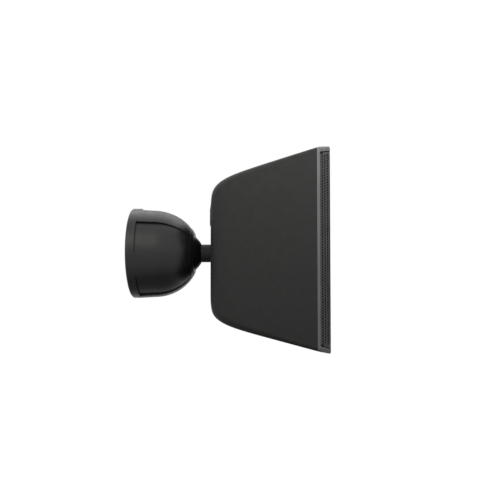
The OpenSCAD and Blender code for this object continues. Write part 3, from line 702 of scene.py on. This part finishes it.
def pad_height(u, v):
    """Height of the pad's top as a share of its thickness: crowned, and thin along its rim."""
    rim = (1 - u ** 6) * (1 - v ** 6)
    return 0.25 + 0.7 * rim ** 0.4 * (1 - 0.12 * (u * u + v * v) / 2)


def make_pad():
    """The damping pad on the cabinet's floor: a crowned felt cushion, held down along its rim."""
    bm = bmesh.new()
    across, along, thick = PAD_SIZE
    size = PAD_GRID
    turn = Matrix.Rotation(math.atan(TAPER_H), 4, "Y")
    home = Vector((PAD_X, 0, -HALF_H + TAPER_H * (FRAME_X - PAD_X) + WALL + 0.2))
    layers = []
    for upper in (True, False):
        rows = []
        for i in range(size + 1):
            u = -math.cos(math.pi * i / size)
            row = []
            for j in range(size + 1):
                v = -math.cos(math.pi * j / size)
                x = u * across * (1 - 0.04 * (1 - v * v))
                y = v * along * (1 - 0.03 * (1 - u * u))
                z = thick * pad_height(u, v) if upper else 0.0
                row.append(bm.verts.new((turn @ Vector((x, y, z)) + home) * MM))
            rows.append(row)
        layers.append(rows)
        for i in range(size):
            for j in range(size):
                bm.faces.new((rows[i][j], rows[i + 1][j], rows[i + 1][j + 1], rows[i][j + 1]))
    top, bottom = layers
    loop = ([(i, 0) for i in range(size)] + [(size, j) for j in range(size)]
            + [(i, size) for i in range(size, 0, -1)] + [(0, j) for j in range(size, 0, -1)])
    for (i, j), (k, m) in zip(loop, loop[1:] + loop[:1]):
        bm.faces.new((top[i][j], top[k][m], bottom[k][m], bottom[i][j]))
    pad = add_piece("felt_pad", bm, "cabinet", "felt_grey", ["damping_pad"], 40)
    return pad


def floor_material():
    """White to the camera with the object's shadow; in its gloss, a painted shadow that darkens it near the
    object.
    """
    material = bpy.data.materials.new("floor_white")
    material.use_nodes = True
    n = Nodes(material.node_tree)
    path = n.add("ShaderNodeLightPath").outputs
    where = n.add("ShaderNodeTexCoord").outputs["Object"]
    away = n.add("ShaderNodeVectorMath", {0: where}, operation="LENGTH")
    # Painted shadow in the floor's gloss: its emission is dimmed near the object, 0.22 there against 0.75
    # further off.
    gloss_shadow_ramp = n.add("ShaderNodeMapRange", {"Value": away.outputs["Value"], "From Min": 0.1, "From Max": 0.7,
                                        "To Min": 0.22, "To Max": 0.75}, interpolation_type="SMOOTHSTEP")
    # The emission that the floor shows in gloss, carrying that painted shadow.
    sheen = n.add("ShaderNodeEmission", {"Color": rgba((1, 1, 1)), "Strength": gloss_shadow_ramp.outputs[0]})
    plain = n.add("ShaderNodeBsdfDiffuse", {"Color": rgba((0.7, 0.7, 0.7))})
    pale = n.add("ShaderNodeEmission", {"Color": rgba((1, 1, 1)), "Strength": 0.965})
    shaded = n.add("ShaderNodeBsdfDiffuse", {"Color": rgba((0.4, 0.4, 0.4))})
    shown = n.add("ShaderNodeAddShader", {0: pale.outputs[0], 1: shaded.outputs[0]})
    unseen = n.add("ShaderNodeMixShader", {0: path["Is Glossy Ray"], 1: plain.outputs[0],
                                           2: sheen.outputs[0]})
    mix = n.add("ShaderNodeMixShader", {0: path["Is Camera Ray"], 1: unseen.outputs[0], 2: shown.outputs[0]})
    n.add("ShaderNodeOutputMaterial", {"Surface": mix.outputs[0]})
    return material


def add_floor():
    bm = bmesh.new()
    bmesh.ops.create_grid(bm, x_segments=1, y_segments=1, size=FLOOR_HALF)
    mesh = bpy.data.meshes.new("floor")
    bm.to_mesh(mesh)
    bm.free()
    floor = bpy.data.objects.new("floor", mesh)
    floor.location = FLOOR_AT
    bpy.context.scene.collection.objects.link(floor)
    mesh.materials.append(floor_material())


def seen_rays(n):
    """1 for the rays that show the background: camera, glossy and transmission rays."""
    path = n.add("ShaderNodeLightPath").outputs
    first = n.add("ShaderNodeMath", {0: path["Is Camera Ray"], 1: path["Is Glossy Ray"]}, operation="MAXIMUM")
    both = n.add("ShaderNodeMath", {0: first.outputs[0], 1: path["Is Transmission Ray"]}, operation="MAXIMUM")
    return both.outputs[0]


def add_world():
    """A white background, which lights the object softly at a lower strength."""
    world = bpy.data.worlds.new("studio")
    bpy.context.scene.world = world
    world.use_nodes = True
    n = Nodes(world.node_tree)
    strength = n.add("ShaderNodeMapRange", {"Value": seen_rays(n), "To Min": 0.13, "To Max": 1.0})
    background = n.add("ShaderNodeBackground", {"Color": rgba((1, 1, 1)), "Strength": strength.outputs[0]})
    n.add("ShaderNodeOutputWorld", {"Surface": background.outputs[0]})


def add_lamp(name, at, target, size, power, colour=(1, 1, 1), mirrored=True):
    """A soft rectangular lamp. One that isn't mirrored lights surfaces but isn't seen in their gloss."""
    data = bpy.data.lights.new(name, "AREA")
    data.shape = "RECTANGLE"
    data.size, data.size_y = size
    data.energy = power
    data.color = colour
    lamp = bpy.data.objects.new(name, data)
    lamp.location = at
    lamp.rotation_euler = (Vector(target) - Vector(at)).to_track_quat("-Z", "Y").to_euler()
    lamp.visible_camera = False
    lamp.visible_glossy = mirrored
    bpy.context.scene.collection.objects.link(lamp)


def add_lamps():
    add_lamp("key", (-0.04, -0.43, 0.36), (0.12, 0, 0), (0.5, 0.3), 1.15, mirrored=False)
    add_lamp("glint", (-0.08, -0.42, 0.25), (0.03, 0, 0), (0.26, 0.24), 0.21, (1.0, 0.94, 0.87))
    add_lamp("top", (0.1, 0.32, 0.7), (0.1, 0, 0), (0.9, 0.5), 1.5)
    add_lamp("rim", (0.235, -0.22, 0.19), (0.22, -0.07, 0.09), (0.1, 0.08), 0.2, mirrored=False)


add_camera()
for name, node in NODES.items():
    paint(node, SLOT_OF[name])
make_shell()
make_frame()
make_grille()
make_scrim()
make_cover()
make_pad()
add_floor()
add_world()
add_lamps()

bpy.context.scene.view_settings.view_transform = "Standard"
